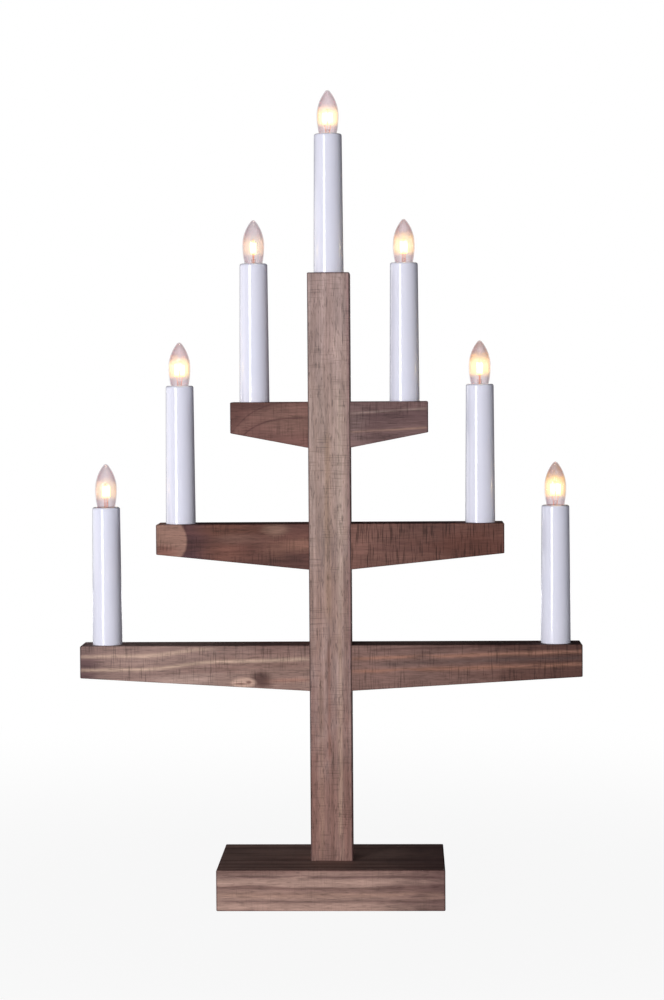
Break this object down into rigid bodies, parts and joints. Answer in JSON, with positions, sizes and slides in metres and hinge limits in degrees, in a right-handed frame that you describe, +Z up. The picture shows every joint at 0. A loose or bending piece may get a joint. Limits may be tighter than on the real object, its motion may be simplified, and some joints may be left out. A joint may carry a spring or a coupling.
{
  "type": "electric candle arch",
  "caption": "Free-standing wooden candle tree: a square post on a foot block carries tapered arms with white candle tubes and small clear screw bulbs.",
  "frame": {"origin": "middle of the foot block's underside, on the surface that the tree stands on", "axes": "+Z up along the post; +X along the arms to the viewer's right; the front faces -Y and the grooved back faces +Y"},
  "size_m": [0.334, 0.094, 0.5388],
  "materials": {
    "foot_wood": "brown stained, matt",
    "post_wood": "brown stained, matt",
    "arm_wood": "brown stained, matt",
    "dowel_wood": "plain beech",
    "screw_steel": "zinc plated",
    "tube_plastic": "glossy white",
    "holder_plastic": "moulded white",
    "socket_brass": "rolled",
    "cap_brass": "rolled, nickel tinted",
    "base_glass": "black glass",
    "bulb_glass": "clear",
    "filament_wire": "glowing",
    "lead_sheath": "brown sheath",
    "clip_plastic": "moulded brown",
    "bush_plastic": "moulded brown"
  },
  "bodies": {
    "tree": {"foot_block": "foot_wood", "post": "post_wood", "arm_dowels": "dowel_wood", "foot_screws": "screw_steel", "socket_shells": "socket_brass", "socket_contacts": "socket_brass", "leads_left": "lead_sheath", "leads_right": "lead_sheath", "leads_supply": "lead_sheath", "lead_clips": "clip_plastic", "cord_bush": "bush_plastic", "arm_lower_left": "arm_wood", "arm_lower_right": "arm_wood", "arm_middle_left": "arm_wood", "arm_middle_right": "arm_wood", "arm_upper_left": "arm_wood", "arm_upper_right": "arm_wood", "candle_tube_top": "tube_plastic", "lampholder_top": "holder_plastic", "candle_tube_lower_left": "tube_plastic", "lampholder_lower_left": "holder_plastic", "candle_tube_lower_right": "tube_plastic", "lampholder_lower_right": "holder_plastic", "candle_tube_middle_left": "tube_plastic", "lampholder_middle_left": "holder_plastic", "candle_tube_middle_right": "tube_plastic", "lampholder_middle_right": "holder_plastic", "candle_tube_upper_left": "tube_plastic", "lampholder_upper_left": "holder_plastic", "candle_tube_upper_right": "tube_plastic", "lampholder_upper_right": "holder_plastic"},
    "base_top": {"bulb_base_top": "base_glass"},
    "bulb_top": {"bulb_cap_top": "cap_brass", "bulb_glass_top": "bulb_glass", "bulb_filament_top": "filament_wire"},
    "base_lower_left": {"bulb_base_lower_left": "base_glass"},
    "bulb_lower_left": {"bulb_cap_lower_left": "cap_brass", "bulb_glass_lower_left": "bulb_glass", "bulb_filament_lower_left": "filament_wire"},
    "base_lower_right": {"bulb_base_lower_right": "base_glass"},
    "bulb_lower_right": {"bulb_cap_lower_right": "cap_brass", "bulb_glass_lower_right": "bulb_glass", "bulb_filament_lower_right": "filament_wire"},
    "base_middle_left": {"bulb_base_middle_left": "base_glass"},
    "bulb_middle_left": {"bulb_cap_middle_left": "cap_brass", "bulb_glass_middle_left": "bulb_glass", "bulb_filament_middle_left": "filament_wire"},
    "base_middle_right": {"bulb_base_middle_right": "base_glass"},
    "bulb_middle_right": {"bulb_cap_middle_right": "cap_brass", "bulb_glass_middle_right": "bulb_glass", "bulb_filament_middle_right": "filament_wire"},
    "base_upper_left": {"bulb_base_upper_left": "base_glass"},
    "bulb_upper_left": {"bulb_cap_upper_left": "cap_brass", "bulb_glass_upper_left": "bulb_glass", "bulb_filament_upper_left": "filament_wire"},
    "base_upper_right": {"bulb_base_upper_right": "base_glass"},
    "bulb_upper_right": {"bulb_cap_upper_right": "cap_brass", "bulb_glass_upper_right": "bulb_glass", "bulb_filament_upper_right": "filament_wire"}
  },
  "joints": [
    {"name": "bulb_top_lift", "type": "slide", "parent": "tree", "child": "base_top", "axis": [0, 0, 1], "range_m": [0, 0.0068]},
    {"name": "bulb_top_turn", "type": "hinge", "parent": "base_top", "child": "bulb_top", "pos_m": [0, 0, 0.51], "axis": [0, 0, 1], "range_deg": [0, 1352]},
    {"name": "bulb_lower_left_lift", "type": "slide", "parent": "tree", "child": "base_lower_left", "axis": [0, 0, 1], "range_m": [0, 0.0068]},
    {"name": "bulb_lower_left_turn", "type": "hinge", "parent": "base_lower_left", "child": "bulb_lower_left", "pos_m": [-0.15, 0, 0.263], "axis": [0, 0, 1], "range_deg": [0, 1352]},
    {"name": "bulb_lower_right_lift", "type": "slide", "parent": "tree", "child": "base_lower_right", "axis": [0, 0, 1], "range_m": [0, 0.0068]},
    {"name": "bulb_lower_right_turn", "type": "hinge", "parent": "base_lower_right", "child": "bulb_lower_right", "pos_m": [0.15, 0, 0.263], "axis": [0, 0, 1], "range_deg": [0, 1352]},
    {"name": "bulb_middle_left_lift", "type": "slide", "parent": "tree", "child": "base_middle_left", "axis": [0, 0, 1], "range_m": [0, 0.0068]},
    {"name": "bulb_middle_left_turn", "type": "hinge", "parent": "base_middle_left", "child": "bulb_middle_left", "pos_m": [-0.1, 0, 0.3438], "axis": [0, 0, 1], "range_deg": [0, 1352]},
    {"name": "bulb_middle_right_lift", "type": "slide", "parent": "tree", "child": "base_middle_right", "axis": [0, 0, 1], "range_m": [0, 0.0068]},
    {"name": "bulb_middle_right_turn", "type": "hinge", "parent": "base_middle_right", "child": "bulb_middle_right", "pos_m": [0.1, 0, 0.3438], "axis": [0, 0, 1], "range_deg": [0, 1352]},
    {"name": "bulb_upper_left_lift", "type": "slide", "parent": "tree", "child": "base_upper_left", "axis": [0, 0, 1], "range_m": [0, 0.0068]},
    {"name": "bulb_upper_left_turn", "type": "hinge", "parent": "base_upper_left", "child": "bulb_upper_left", "pos_m": [-0.05, 0, 0.4246], "axis": [0, 0, 1], "range_deg": [0, 1352]},
    {"name": "bulb_upper_right_lift", "type": "slide", "parent": "tree", "child": "base_upper_right", "axis": [0, 0, 1], "range_m": [0, 0.0068]},
    {"name": "bulb_upper_right_turn", "type": "hinge", "parent": "base_upper_right", "child": "bulb_upper_right", "pos_m": [0.05, 0, 0.4246], "axis": [0, 0, 1], "range_deg": [0, 1352]}
  ],
  "couplings": [
    {"joint": "bulb_top_turn", "follows": "bulb_top_lift", "rad_per_m": 3463.7},
    {"joint": "bulb_lower_left_turn", "follows": "bulb_lower_left_lift", "rad_per_m": 3463.7},
    {"joint": "bulb_lower_right_turn", "follows": "bulb_lower_right_lift", "rad_per_m": 3463.7},
    {"joint": "bulb_middle_left_turn", "follows": "bulb_middle_left_lift", "rad_per_m": 3463.7},
    {"joint": "bulb_middle_right_turn", "follows": "bulb_middle_right_lift", "rad_per_m": 3463.7},
    {"joint": "bulb_upper_left_turn", "follows": "bulb_upper_left_lift", "rad_per_m": 3463.7},
    {"joint": "bulb_upper_right_turn", "follows": "bulb_upper_right_lift", "rad_per_m": 3463.7}
  ]
}
